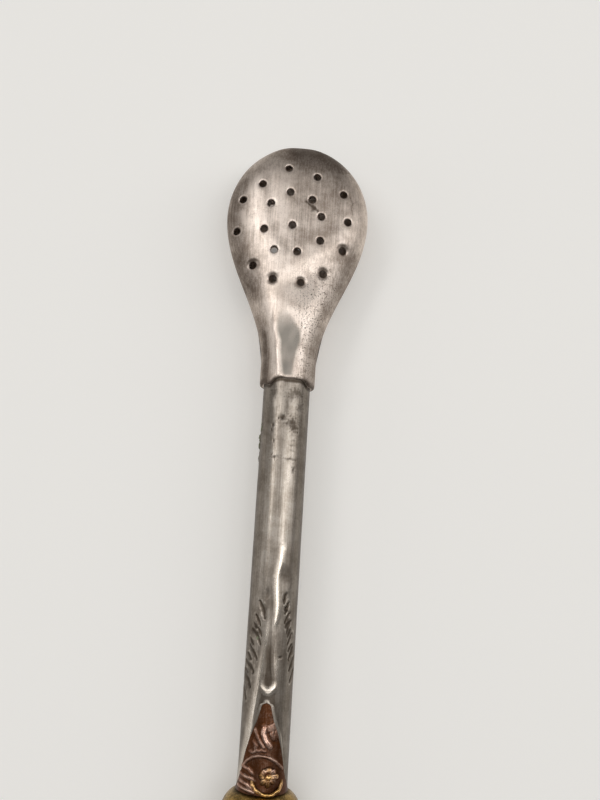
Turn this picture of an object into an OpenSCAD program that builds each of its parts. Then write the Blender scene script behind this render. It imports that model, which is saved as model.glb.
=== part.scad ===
// Bombilla, a straw for drinking mate: a silver tube with a pierced strainer that pushes on to one end,
// a hollow gilt collar, a gilt plaque with a rosette beside the collar, and a flattened gilt mouthpiece.
// It lies along Y as on a table, with the strainer towards +Y and the strainer's front face up.
// The origin is on the table, under the middle of the straw's length.

/* [Whole straw] */
// Length from the mouth to the tip of the strainer
straw_l = 196; // [186:1:220]
// Height of the tube's axis over the table, which is also the collar's radius and the strainer's back depth
axis_h = 6.2; // [5.8:0.1:7]
// Gap that solder fills between pieces that are soldered together
solder_gap = 0.02; // [0.01:0.01:0.05]

/* [Tube] */
// Outside diameter of the tube
tube_d = 7.5; // [7:0.1:8]
// Wall of the tube
tube_t = 0.55; // [0.4:0.05:0.7]

/* [Strainer] */
// Greatest width of the strainer
strainer_w = 23.6; // [21:0.2:27]
// Straight length of the neck at its lip
neck_l = 3; // [2:0.2:5]
// Length over which the neck flares out to the greatest width
flare_l = 25.6; // [22:0.2:30]
// Length of the round head beyond the greatest width
head_l = 12.7; // [11:0.1:15]
// Rise of the front face over the neck
front_rise = 0.25; // [0.1:0.05:1]
// Thickness of the sheet that both halves are pressed from
sheet_t = 0.65; // [0.5:0.05:0.8]
// Share by which the section is drawn too deep before its middle is hammered flat
flatten = 1.08; // [1.02:0.01:1.15]
// Fullness of the section at the greatest width, where 2 is an ellipse
fullness = 2.5; // [2.1:0.1:3]

/* [Socket] */
// Depth to which the tube goes into the neck
socket_depth = 9; // [7:0.5:11]
// Running clearance round the tube in the neck
socket_gap = 0.05; // [0.02:0.01:0.08]
// Height of the ledge that stops the tube
ledge_h = 0.25; // [0.15:0.05:0.35]
// Gap left between the tube's end and the ledge
seat_gap = 0.2; // [0.1:0.05:0.5]

/* [Holes of the strainer] */
// Diameter of a punched hole
hole_d = 1.2; // [0.8:0.1:1.5]
// Holes in the outer ring
outer_holes = 12; // [8:1:14]
// Holes in the inner ring
inner_holes = 8; // [5:1:9]
// Distance from the strainer's side to the outer ring
side_margin = 2.7; // [2.2:0.1:3.2]
// Distance from the strainer's tip to the outer ring
tip_margin = 5.6; // [5:0.1:6.5]
// Distance between the rings
ring_step = 4.5; // [3.5:0.1:5]
// Distance of the rings' centre from the greatest width, towards the neck
ring_drop = 2.6; // [2:0.1:3.2]
// Distance of the rings' centre from the middle line, to the left seen from outside
ring_shift = 0.7; // [0:0.1:1]

/* [Collar] */
// Distance from the strainer's lip to the collar
collar_drop = 61; // [50:0.5:70]
// Radius of the rounded shoulder of each cup
cup_round = 3.2; // [2.8:0.1:3.6]
// Wall of the cups and the band
cup_t = 0.5; // [0.4:0.05:0.7]
// Length of the band between the cups
band_l = 2.4; // [1.5:0.1:4]
// How far the band stands out over the cups
band_rise = 0.25; // [0.1:0.05:0.4]

/* [Plaque] */
// Length of the plaque from the collar to its tip
plaque_l = 12.8; // [11:0.2:14]
// Width of the plaque at the collar, seen from the front
plaque_w = 6.9; // [6:0.1:7]
// Thickness of the plaque
plaque_t = 0.25; // [0.2:0.05:0.5]
// Height of the bud, the wire and the petals over the plaque
relief_h = 0.4; // [0.25:0.05:0.6]
// Length of a leaf of the bud
leaf_l = 4.2; // [3:0.1:5]
// Width of a leaf of the bud
leaf_w = 1.5; // [1:0.1:2]
// Angle at which each leaf stands off the plaque's middle
leaf_spread = 17; // [10:1:25]
// Distance from the plaque's tip to the leaves
leaf_drop = 1.2; // [0.8:0.1:2]

/* [Silver border] */
// Length of the raised silver border from the collar to its point
border_l = 26.5; // [25:0.5:30]
// Width of the border along each side of the plaque at the collar
border_w = 0.55; // [0.4:0.05:0.7]
// How far the border stands out over the plaque
border_rise = 0.1; // [0.05:0.01:0.3]
// Length of the drop that is cut out of the border over the plaque
drop_l = 8.4; // [6:0.1:9]
// Width of that drop
drop_w = 1.5; // [1:0.1:2]
// Distance from the plaque's tip to the drop
drop_rise = 2; // [1.2:0.1:3]

/* [Rosette] */
// Distance of the rosette's middle from the collar
rosette_rise = 2.7; // [2.3:0.1:3]
// Angle round the tube between the plaque's middle and the rosette
rosette_turn = 13; // [0:1:15]
// Outside diameter of the wire round the rosette
wire_ring_d = 5.6; // [5:0.1:5.8]
// Width of that wire
wire_w = 0.5; // [0.3:0.05:0.7]
// Number of petals
petals = 8; // [5:1:9]
// Diameter over the petals
rosette_d = 3; // [2.6:0.1:3.4]
// Diameter of the pin in the middle
pin_d = 0.9; // [0.7:0.05:1.1]

/* [Mouthpiece] */
// Length of the mouthpiece
mouth_l = 33.5; // [28:0.5:40]
// Width of the mouthpiece at the lips
mouth_w = 9.6; // [9:0.1:11]
// Height of the mouthpiece at the lips
mouth_h = 4.2; // [3.8:0.1:5.5]
// Wall of the mouthpiece
mouth_t = 0.5; // [0.4:0.05:0.7]
// Length of the mouthpiece that holds the tube
grip_l = 7; // [5:0.5:10]
// Length of the flat tip
tip_l = 6; // [4:0.5:8]
// Fullness of the section at the lips, where 2 is an ellipse
mouth_fullness = 2.5; // [2.1:0.1:3]
// Radius of the rounded edge at the lips
lip_r = 0.35; // [0.2:0.05:0.4]
// Length of the ferrule over the joint of tube and mouthpiece
ferrule_l = 2.6; // [2:0.1:4]
// Wall of the ferrule
ferrule_t = 0.5; // [0.4:0.05:0.8]

/* [Hidden] */
$fn = 64;
silver = "#a9a49b";
gilt = "#b58a45";

// Places along the straw
strainer_l = neck_l + flare_l + head_l;
lip_y = straw_l / 2 - strainer_l;
belly_u = neck_l + flare_l;
collar_y = lip_y - collar_drop;
mouth_y = mouth_l - straw_l / 2;

// Radii round the tube's axis
tube_r = tube_d / 2;
solder_r = tube_r + solder_gap;
socket_r = tube_r + socket_gap;
neck_r = socket_r + sheet_t;
plaque_r = tube_r + plaque_t;
border_r = plaque_r + border_rise;
relief_r = plaque_r + relief_h;

// The collar's cups: the centre of the shoulder's arc, and how far a cup reaches from the band to the tube
cup_r = axis_h - band_rise;
cup_centre = cup_r - cup_round;
cup_l = sqrt(pow(cup_round, 2) - pow(solder_r - cup_centre, 2));
band_y = collar_y - cup_l - band_l / 2;

// How far a cutting shape reaches past what it cuts
clear = 1;

// Steps of a wide arc and of a punched hole, and of the pressed and lofted surfaces
arc_steps = 180;
hole_steps = 24;
flare_steps = 12;
head_steps = 8;
half_steps = 28;
mouth_steps = 10;
lip_steps = 3;
round_steps = 36;

// Slips of the hand that punched the holes: degrees along each ring, and millimetres away from it
outer_turn = [7, 6, 5, 8, 9, 7, 12, 13, 17, 6, 4, 9];
outer_stray = [0.3, -0.2, 0.8, 0, -0.1, -0.1, 0, -0.1, -0.3, 0, 0.2, -0.7];
inner_turn = [7, 9, 19, 21, 15, 10, 9, 4];
inner_stray = [0.5, 0.5, 0.3, 0.5, -0.6, 0.1, 0, 0.3];

// A smooth start and stop between 0 and 1
function ease(t) = (1 - cos(180 * min(1, max(0, t)))) / 2;

// The two triangles of a four-cornered face, and one list made of many
function quad(a, b, c, d) = [[a, b, c], [a, c, d]];
function joined(lists) = [for (l = lists) each l];

// A row of the strainer's surface: [place from the lip, half width, depth, flattening, fullness].
// The inner surface lies one sheet inside the outer one, and a ledge further in where the neck narrows.
function flare_row(u, inner, depth) =
    let (
        e = ease((u - neck_l) / flare_l),
        wall = inner ? sheet_t + ledge_h * (1 - e) : 0,
        drawn = neck_r + (flatten * depth - neck_r) * e
    )
    [u, neck_r + (strainer_w / 2 - neck_r) * e - wall, min(depth, drawn) - wall, 1 + (flatten - 1) * e,
     2 + (fullness - 2) * e];

function head_row(angle, inner, depth) =
    let (
        wall = inner ? sheet_t : 0,
        drawn = flatten * pow(cos(angle), 2 / fullness)
    )
    [belly_u + (head_l - wall) * sin(angle), (strainer_w / 2 - wall) * cos(angle),
     (depth - wall) * min(1, drawn), flatten, fullness];

function shell_rows(inner, depth) = concat(
    [flare_row(0, inner, depth)],
    [for (i = [0 : flare_steps]) flare_row(neck_l + flare_l * i / flare_steps, inner, depth)],
    [for (i = [1 : head_steps - 1]) head_row(90 * i / head_steps, inner, depth)]
);

// A point of a row at an angle from the right-hand side over the top
function row_point(row, angle) =
    let (
        power = 2 / row[4],
        side = cos(angle) < 0 ? -1 : 1,
        rise = row[3] * pow(abs(sin(angle)), power)
    )
    [side * row[1] * pow(abs(cos(angle)), power), row[0], sign(sin(angle)) * row[2] * min(1, rise)];

// One pressed half of the strainer, over the axis, with its flat soldering edge in the axis plane
module pressed_half(depth) {
    outer = shell_rows(false, depth);
    inner = shell_rows(true, depth);
    m = half_steps;
    n = len(outer);
    turns = [for (j = [0 : m]) 180 * j / m];
    points = concat(
        [for (row = outer) for (a = turns) row_point(row, a)],
        [for (row = inner) for (a = turns) row_point(row, a)],
        [[0, strainer_l, 0], [0, strainer_l - sheet_t, 0]]
    );
    function out(i, j) = i * (m + 1) + j;
    function in(i, j) = (n + i) * (m + 1) + j;
    out_tip = 2 * n * (m + 1);
    in_tip = out_tip + 1;
    last = n - 1;
    faces = joined([
        for (i = [0 : n - 2]) for (j = [0 : m - 1])
            quad(out(i, j), out(i, j + 1), out(i + 1, j + 1), out(i + 1, j)),
        for (i = [0 : n - 2]) for (j = [0 : m - 1])
            quad(in(i, j), in(i + 1, j), in(i + 1, j + 1), in(i, j + 1)),
        for (j = [0 : m - 1])
            [[out(last, j), out(last, j + 1), out_tip], [in(last, j), in_tip, in(last, j + 1)]],
        for (j = [0 : m - 1]) quad(out(0, j), in(0, j), in(0, j + 1), out(0, j + 1)),
        for (i = [0 : n - 2]) quad(out(i, 0), out(i + 1, 0), in(i + 1, 0), in(i, 0)),
        for (i = [0 : n - 2]) quad(out(i, m), in(i, m), in(i + 1, m), out(i + 1, m)),
        quad(out(last, 0), out_tip, in_tip, in(last, 0)),
        quad(out(last, m), in(last, m), in_tip, out_tip)
    ]);
    polyhedron(points, faces);
}

// The ring of holes that is half_w by half_l from its centre, with each hole's slip
module hole_ring(count, half_w, half_l, turn, stray) {
    for (i = [0 : count - 1]) {
        angle = 90 - 360 * i / count + turn[i % len(turn)];
        slip = stray[i % len(stray)];
        translate([(half_w + slip) * cos(angle), (half_l + slip) * sin(angle), 0])
            cylinder(h = 2 * axis_h, d = hole_d, $fn = hole_steps);
    }
}

module strainer_holes(side) {
    half_w = strainer_w / 2 - side_margin;
    half_l = head_l + ring_drop - tip_margin;
    translate([-side * ring_shift, belly_u - ring_drop, 0]) {
        cylinder(h = 2 * axis_h, d = hole_d, $fn = hole_steps);
        hole_ring(inner_holes, half_w - ring_step, half_l - ring_step, inner_turn, inner_stray);
        hole_ring(outer_holes, half_w, half_l, outer_turn, outer_stray);
    }
}

// A half of the strainer with its holes and its share of the socket.
// Side is 1 for the front and -1 for the back.
module pierced_half(depth, side) {
    difference() {
        pressed_half(depth);
        strainer_holes(side);
        translate([0, -clear, 0])
            rotate([-90, 0, 0])
                cylinder(h = socket_depth + clear, r = socket_r);
    }
}

// Puts a shape that is turned round Z on the tube's axis, at a place along the straw
module on_axis(y) {
    translate([0, y, axis_h])
        rotate([-90, 0, 0])
            children();
}

// Turns a shape round the tube's axis, from the plaque's middle to the rosette
module turned() {
    translate([0, 0, axis_h])
        rotate([0, rosette_turn, 0])
            translate([0, 0, -axis_h])
                children();
}

// A part of the layer between two radii round the tube, as wide as a flat outline seen from the front
module layer(inner_r, outer_r) {
    length = collar_drop;
    intersection() {
        on_axis(collar_y)
            difference() {
                cylinder(h = length, r = outer_r);
                translate([0, 0, -clear])
                    cylinder(h = length + 2 * clear, r = inner_r);
            }
        translate([0, collar_y, axis_h])
            linear_extrude(2 * outer_r)
                children();
    }
}

// A pointed arch on the collar: two arcs that leave the collar at a right angle and meet at the tip.
// It can be grown evenly on all sides.
module arch(width, length, grow = 0) {
    arc_r = (pow(width / 2, 2) + pow(length, 2)) / width;
    intersection() {
        translate([width / 2 - arc_r, 0])
            circle(arc_r + grow, $fn = arc_steps);
        translate([arc_r - width / 2, 0])
            circle(arc_r + grow, $fn = arc_steps);
        translate([-width, solder_gap - grow])
            square([2 * width, length + width]);
    }
}

// A drop with its round foot at the origin and its point along Y
module drop() {
    foot_r = drop_w / 2;
    reach = drop_l - foot_r;
    touch_y = pow(foot_r, 2) / reach;
    touch_x = sqrt(pow(foot_r, 2) - pow(touch_y, 2));
    translate([0, foot_r]) {
        circle(foot_r);
        polygon([[-touch_x, touch_y], [touch_x, touch_y], [0, reach]]);
    }
}

// A leaf with two pointed ends, from its foot along Y
module leaf() {
    arc_r = (pow(leaf_w / 2, 2) + pow(leaf_l / 2, 2)) / leaf_w;
    intersection() {
        translate([leaf_w / 2 - arc_r, leaf_l / 2])
            circle(arc_r);
        translate([arc_r - leaf_w / 2, leaf_l / 2])
            circle(arc_r);
    }
}

// Two leaves that open towards the collar under the plaque's tip
module bud() {
    for (side = [-1, 1])
        translate([0, plaque_l - leaf_drop])
            rotate(180 + side * leaf_spread)
                leaf();
}

module stem_tube() {
    start = mouth_y - grip_l;
    end = lip_y + socket_depth - seat_gap;
    color(silver)
        on_axis(start)
            difference() {
                cylinder(h = end - start, r = tube_r);
                translate([0, 0, -clear])
                    cylinder(h = end - start + 2 * clear, r = tube_r - tube_t);
            }
}

// The border is a long triangle on the collar, with room for the plaque, the drop and the rosette's wire
module arch_border() {
    half_w = plaque_w / 2 + solder_gap + border_w;
    color(silver)
        difference() {
            layer(solder_r, border_r)
                difference() {
                    polygon([[-half_w, solder_gap], [half_w, solder_gap], [0, border_l]]);
                    arch(plaque_w, plaque_l, solder_gap);
                    translate([0, plaque_l + drop_rise])
                        drop();
                }
            turned()
                translate([0, collar_y + rosette_rise, axis_h])
                    cylinder(h = 2 * relief_r, d = wire_ring_d + 2 * solder_gap);
        }
}

module gilt_plaque() {
    color(gilt) {
        layer(solder_r, plaque_r)
            arch(plaque_w, plaque_l);
        layer(solder_r, relief_r)
            intersection() {
                bud();
                arch(plaque_w, plaque_l);
            }
    }
}

// The wire round the rosette ends where it meets the collar
module medallion_wire() {
    color(gilt)
        turned()
            layer(plaque_r + solder_gap, relief_r)
                difference() {
                    translate([0, rosette_rise])
                        circle(d = wire_ring_d);
                    translate([0, rosette_rise])
                        circle(d = wire_ring_d - 2 * wire_w);
                    translate([-wire_ring_d, solder_gap - wire_ring_d])
                        square([2 * wire_ring_d, wire_ring_d]);
                }
}

// The petals are round grains that melt into each other
module rosette() {
    melt = 1.15;
    petal_r = rosette_d / 2 * sin(180 / petals) / (1 + sin(180 / petals));
    color(gilt)
        turned()
            difference() {
                for (i = [0 : petals - 1])
                    translate([0, collar_y + rosette_rise, axis_h + plaque_r])
                        rotate(360 * i / petals)
                            translate([rosette_d / 2 - petal_r, 0, 0])
                                sphere(petal_r * melt);
                on_axis(collar_y)
                    cylinder(h = collar_drop, r = plaque_r + solder_gap);
                translate([0, collar_y + rosette_rise, axis_h])
                    cylinder(h = 2 * relief_r, d = pin_d + 2 * solder_gap);
            }
}

module rosette_pin() {
    color(gilt)
        turned()
            difference() {
                translate([0, collar_y + rosette_rise, axis_h]) {
                    cylinder(h = relief_r, d = pin_d);
                    translate([0, 0, relief_r])
                        sphere(d = pin_d);
                }
                on_axis(collar_y)
                    cylinder(h = collar_drop, r = plaque_r + solder_gap);
            }
}

// Section of a cup: a quarter of a round wall from the band up to the tube
module cup_section() {
    difference() {
        translate([cup_centre, 0])
            circle(cup_round);
        translate([cup_centre, 0])
            circle(cup_round - cup_t);
        translate([-cup_round, -2 * cup_round])
            square([4 * cup_round, 2 * cup_round]);
        translate([solder_r - 4 * cup_round, -cup_round])
            square([4 * cup_round, 4 * cup_round]);
    }
}

module collar_lower_cup() {
    color(gilt)
        on_axis(band_y + band_l / 2)
            rotate_extrude()
                cup_section();
}

module collar_upper_cup() {
    color(gilt)
        on_axis(band_y - band_l / 2)
            mirror([0, 0, 1])
                rotate_extrude()
                    cup_section();
}

// The band is a half-round bead between two flat edges
module collar_band() {
    bead_r = (pow(band_l / 2, 2) + pow(band_rise, 2)) / (2 * band_rise);
    color(gilt)
        on_axis(band_y)
            rotate_extrude()
                intersection() {
                    translate([axis_h - bead_r, 0])
                        circle(bead_r, $fn = arc_steps);
                    translate([cup_r - cup_t, -band_l / 2])
                        square([cup_t + 2 * band_rise, band_l]);
                }
}

// The ferrule is a band with a round bead at each end
module mouth_ferrule() {
    bead = ferrule_l / 5;
    color(gilt)
        on_axis(mouth_y + solder_gap)
            rotate_extrude()
                difference() {
                    union() {
                        translate([solder_r, 0])
                            square([ferrule_t, ferrule_l]);
                        for (h = [bead, ferrule_l - bead])
                            translate([solder_r + ferrule_t, h])
                                circle(bead);
                    }
                    translate([solder_r - 4 * bead, -bead])
                        square([4 * bead, ferrule_l + 2 * bead]);
                }
}

// A row of the mouthpiece's surface, in the strainer's form, from the tube's end to the lips.
// The edge at the lips is rounded by drawing the last rows in.
function mouth_row(v, inset, inner) =
    let (
        e = ease((v - grip_l) / (mouth_l - grip_l - tip_l)),
        wall = inner ? mouth_t + ledge_h * (1 - e) : inset,
        start_r = solder_r + mouth_t
    )
    [v, start_r + (mouth_w / 2 - start_r) * e - wall, start_r + (mouth_h / 2 - start_r) * e - wall,
     1, 2 + (mouth_fullness - 2) * e];

function mouth_rows(inner) = concat(
    [mouth_row(0, 0, inner)],
    [for (i = [0 : mouth_steps])
        mouth_row(grip_l + (mouth_l - grip_l - tip_l) * i / mouth_steps, 0, inner)],
    [for (i = [0 : lip_steps])
        let (a = 90 * i / lip_steps)
        mouth_row(mouth_l - lip_r + lip_r * sin(a), lip_r * (1 - cos(a)), inner)]
);

module mouth_loft() {
    outer = mouth_rows(false);
    inner = mouth_rows(true);
    m = round_steps;
    n = len(outer);
    turns = [for (j = [0 : m - 1]) 360 * j / m];
    points = concat(
        [for (row = outer) for (a = turns) row_point(row, a)],
        [for (row = inner) for (a = turns) row_point(row, a)]
    );
    function out(i, j) = i * m + j % m;
    function in(i, j) = (n + i) * m + j % m;
    last = n - 1;
    faces = joined([
        for (i = [0 : n - 2]) for (j = [0 : m - 1])
            quad(out(i, j), out(i, j + 1), out(i + 1, j + 1), out(i + 1, j)),
        for (i = [0 : n - 2]) for (j = [0 : m - 1])
            quad(in(i, j), in(i + 1, j), in(i + 1, j + 1), in(i, j + 1)),
        for (j = [0 : m - 1]) quad(out(0, j), in(0, j), in(0, j + 1), out(0, j + 1)),
        for (j = [0 : m - 1]) quad(out(last, j), out(last, j + 1), in(last, j + 1), in(last, j))
    ]);
    polyhedron(points, faces);
}

module mouthpiece() {
    color(gilt)
        translate([0, mouth_y, axis_h])
            rotate(180)
                difference() {
                    mouth_loft();
                    translate([0, -clear, 0])
                        rotate([-90, 0, 0])
                            cylinder(h = grip_l + clear, r = solder_r);
                }
}

module strainer_front() {
    color(silver)
        translate([0, lip_y, axis_h])
            pierced_half(neck_r + front_rise, 1);
}

module strainer_back() {
    color(silver)
        translate([0, lip_y, axis_h])
            mirror([0, 0, 1])
                pierced_half(axis_h, -1);
}

stem_tube();
arch_border();
gilt_plaque();
medallion_wire();
rosette();
rosette_pin();
collar_lower_cup();
collar_band();
collar_upper_cup();
mouth_ferrule();
mouthpiece();
strainer_front();
strainer_back();
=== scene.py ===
# Bombilla: a silver straw for drinking mate, with a pierced strainer that pulls off, a chased tube,
# a gilt plaque with a rosette, a hollow gilt collar and a flattened gilt mouthpiece.
import math

import bmesh
import bpy
from mathutils import Matrix, Vector, noise


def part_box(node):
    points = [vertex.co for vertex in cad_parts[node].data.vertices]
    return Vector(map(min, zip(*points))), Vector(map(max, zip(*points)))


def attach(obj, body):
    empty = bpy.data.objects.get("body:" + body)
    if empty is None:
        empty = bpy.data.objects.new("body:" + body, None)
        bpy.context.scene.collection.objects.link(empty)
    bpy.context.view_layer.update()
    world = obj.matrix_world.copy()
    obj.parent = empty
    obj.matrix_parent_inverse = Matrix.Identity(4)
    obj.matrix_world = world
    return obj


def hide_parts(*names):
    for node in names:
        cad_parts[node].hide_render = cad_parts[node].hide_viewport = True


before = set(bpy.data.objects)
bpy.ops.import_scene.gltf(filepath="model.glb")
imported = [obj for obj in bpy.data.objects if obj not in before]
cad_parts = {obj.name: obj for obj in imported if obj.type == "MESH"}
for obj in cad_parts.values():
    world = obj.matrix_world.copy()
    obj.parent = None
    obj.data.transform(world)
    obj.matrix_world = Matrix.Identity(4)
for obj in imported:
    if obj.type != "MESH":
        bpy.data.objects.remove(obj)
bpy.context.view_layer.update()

# Sizes in millimetres, as in the part's source. Each piece is scaled to metres when it is done.
# In the functions, u is a place along the strainer from its lip, h one along the tube from the collar,
# x one across the straw, and a the length round the tube from its top.
MM = 0.001
AXIS_H = 6.2
TUBE_R = 3.75
TUBE_T = 0.55

# Sizes of the strainer
NECK_R = 4.45
SHEET_T = 0.65
SOCKET_R = 3.8
SOCKET_DEPTH = 9.0
LEDGE_H = 0.25
HALF_W = 11.8
NECK_L = 3.0
FLARE_L = 25.6
HEAD_L = 12.7
BELLY = NECK_L + FLARE_L
FLATTEN = 1.08
SOFT_EDGE = 0.2
FULLNESS = 2.5
DEPTH_BLEND = 0.3
HEAD_BLEND = 0.1
FRONT_DEPTH = 4.7
BACK_DEPTH = AXIS_H
HOLE_R = 0.6

# Sizes of the ornament on the tube
PLAQUE_L = 12.8
PLAQUE_HALF = 3.45
TIP_R = 0.8
BORDER_HALF = 4.02
BORDER_L = 26.5
BORDER_R = 4.1
DROP_RISE = 2.0
DROP_L = 8.4
DROP_R = 0.75
ROSETTE_RISE = 2.7
ROSETTE_TURN = 13.0
WIRE_R = 2.55
PETALS = 8

# Sizes of the collar
CUP_R = 5.95
CUP_ROUND = 3.2
CUP_T = 0.5
BAND_L = 2.4
SOLDER_R = 3.77

# Sizes of the mouthpiece and its ferrule
MOUTH_L = 33.5
MOUTH_HALF_W = 4.8
MOUTH_HALF_H = 2.1
MOUTH_T = 0.5
MOUTH_GRIP = 7.0
MOUTH_TIP = 6.0
MOUTH_LIP = 0.35
MOUTH_FULLNESS = 2.5
FERRULE_L = 2.6
FERRULE_T = 0.5

# Places along the straw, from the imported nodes
LIP_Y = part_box("strainer_front")[0].y / MM
TUBE_START, TUBE_END = (corner.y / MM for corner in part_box("stem_tube"))
COLLAR_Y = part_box("collar_lower_cup")[1].y / MM
BAND_Y = sum(corner.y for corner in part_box("collar_band")) / 2 / MM
MOUTH_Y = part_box("mouthpiece")[1].y / MM


# Small helpers

def linear(code):
    """An sRGB hex colour as linear red, green, blue and alpha"""
    parts = [int(code[i:i + 2], 16) / 255 for i in (1, 3, 5)]
    return [c / 12.92 if c <= 0.04045 else ((c + 0.055) / 1.055) ** 2.4 for c in parts] + [1.0]


def clamp(t):
    """A value kept between 0 and 1"""
    return min(1.0, max(0.0, t))


def ease(t):
    """A smooth start and stop between 0 and 1"""
    return (1 - math.cos(math.pi * clamp(t))) / 2


def within(value, start, end, blend):
    """1 between two places, easing to 0 at both over the length of the blend"""
    return ease((value - start) / blend) * ease((end - value) / blend)


def hump(distance, width):
    """1 in the middle, and 0 with a smooth foot at the given width"""
    t = min(1.0, abs(distance) / width)
    return (1 - t * t) ** 2


def soft_min(a, b, blend):
    """The smaller of two values, with a smooth turn where they come closer than the blend"""
    near = max(0.0, 1 - abs(a - b) / blend)
    return min(a, b) - near * near * blend / 4


def uneven(x, y, z, size):
    """Slow unevenness between about -1 and 1, for features of the given size"""
    return noise.noise(Vector((x / size, y / size, z / size)))


def between(places, values, place):
    """A value read off between the places that it is given for"""
    for i in range(len(places) - 1):
        if place <= places[i + 1]:
            t = max(0.0, (place - places[i]) / (places[i + 1] - places[i]))
            return values[i] + (values[i + 1] - values[i]) * t
    return values[-1]


def near_line(a, y, line):
    """Distance from a line, and the share of the line passed at the nearest point"""
    best, share = 1e9, 0.0
    count = len(line) - 1
    for i in range(count):
        (a0, y0), (a1, y1) = line[i], line[i + 1]
        da, dy = a1 - a0, y1 - y0
        t = clamp(((a - a0) * da + (y - y0) * dy) / (da * da + dy * dy))
        d = math.hypot(a - a0 - t * da, y - y0 - t * dy)
        if d < best:
            best, share = d, (i + t) / count
    return best, share


def spaced(*stretches):
    """Places from stretches of (start, end, step)"""
    places = []
    for start, end, step in stretches:
        count = max(1, round(abs(end - start) / step))
        places += [start + (end - start) * i / count for i in range(count)]
    return places + [stretches[-1][1]]


def rounded_off(start, length, count):
    """Places over a rounded end, closer together towards its tip"""
    return [start + length * math.sin(math.radians(90 * i / count)) for i in range(1, count + 1)]


def round_tube(radius, angle, y):
    """The point at an angle in degrees round the tube's axis, where 0 is on top and 90 on the right"""
    turn = math.radians(angle)
    return Vector((radius * math.sin(turn), y, AXIS_H + radius * math.cos(turn)))


# Pieces. Every piece carries its wear and painted light as three shares: tarnish with painted shade and
# highlight, pitting and its material's extra finish.

# Faces that meet at a wider angle than this keep a sharp edge
SHARP = math.radians(50)


def start_piece():
    """An empty mesh and its layer of wear and painted light"""
    bm = bmesh.new()
    return bm, bm.verts.layers.float_color.new("wear_and_painted_light")


def sheet(bm, wear_and_painted_light, columns, places, put):
    """A grid whose vertex at a share across and a place along goes where put says, with its wear and painted
    light
    """
    rows = len(places) - 1
    made = bmesh.ops.create_grid(bm, x_segments=columns, y_segments=rows, size=0.5)["verts"]
    for v in made:
        v.co, shares = put(v.co.x + 0.5, places[round((v.co.y + 0.5) * rows)])
        v[wear_and_painted_light] = (*shares, 1.0)
    return made


def close_seams(bm):
    """Merges the seams and poles of what is modelled so far"""
    bmesh.ops.remove_doubles(bm, verts=bm.verts, dist=0.0005)
    bmesh.ops.dissolve_degenerate(bm, edges=bm.edges, dist=0.0001)


def open_edges(bm):
    """The edges that have only one face"""
    return [e for e in bm.edges if e.is_boundary]


def edges_of(verts):
    """The edges at some vertices, each once and in a fixed order"""
    return list(dict.fromkeys(e for v in verts for e in v.link_edges))


def grow_ring(bm, edges):
    """Extrudes a ring of edges, and gives the vertices and edges of the new ring"""
    grown = bmesh.ops.extrude_edge_only(bm, edges=edges)["geom"]
    ring = {g for g in grown if isinstance(g, bmesh.types.BMVert)}
    return ring, [g for g in grown if isinstance(g, bmesh.types.BMEdge) and ring.issuperset(g.verts)]


def turned_section(bm, section, steps):
    """A closed section of (radius, place) points, turned round the tube's axis"""
    verts = [bm.verts.new((0, y, AXIS_H + r)) for r, y in section]
    edges = [bm.edges.new((a, b)) for a, b in zip(verts, verts[1:] + verts[:1])]
    bmesh.ops.spin(bm, geom=verts + edges, cent=(0, 0, AXIS_H), axis=(0, 1, 0), angle=2 * math.pi,
                   steps=steps, use_merge=True)
    close_seams(bm)


def finish_piece(bm, name, material, body, slot, *nodes):
    """Turns the faces outwards, scales the mesh to metres and hands it over in place of the nodes"""
    bmesh.ops.recalc_face_normals(bm, faces=bm.faces)
    bmesh.ops.scale(bm, vec=(MM, MM, MM), verts=bm.verts)
    for face in bm.faces:
        face.smooth = True
    for edge in bm.edges:
        edge.smooth = edge.calc_face_angle(0.0) < SHARP
    mesh = bpy.data.meshes.new(name)
    bm.to_mesh(mesh)
    bm.free()
    mesh.materials.append(material)
    piece = bpy.data.objects.new(name, mesh)
    bpy.context.scene.collection.objects.link(piece)
    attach(piece, body)
    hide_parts(*nodes)


# Materials

# A rub mark is this many times as long as it is wide
RUB_STRETCH = 40
# Depth of a corroded pit
PIT_DEPTH = 0.06
# Values of the noise at which pits and clouds start, and at which they are full
PITS_FROM, PITS_FULL = 0.57, 0.69
CLOUDS_FROM, CLOUDS_FULL = 0.74, 1.04


def node(tree, kind, settings, **links):
    """Adds a node. Settings are its sockets' values by name or number, or its own options by name."""
    made = tree.nodes.new(kind)
    for key, value in settings.items():
        if isinstance(key, int) or key in made.inputs:
            made.inputs[key].default_value = value
        else:
            setattr(made, key, value)
    for key, source in links.items():
        tree.links.new(source, made.inputs[int(key[1:]) if key[0] == "_" else key.replace("_", " ")])
    return made


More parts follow.
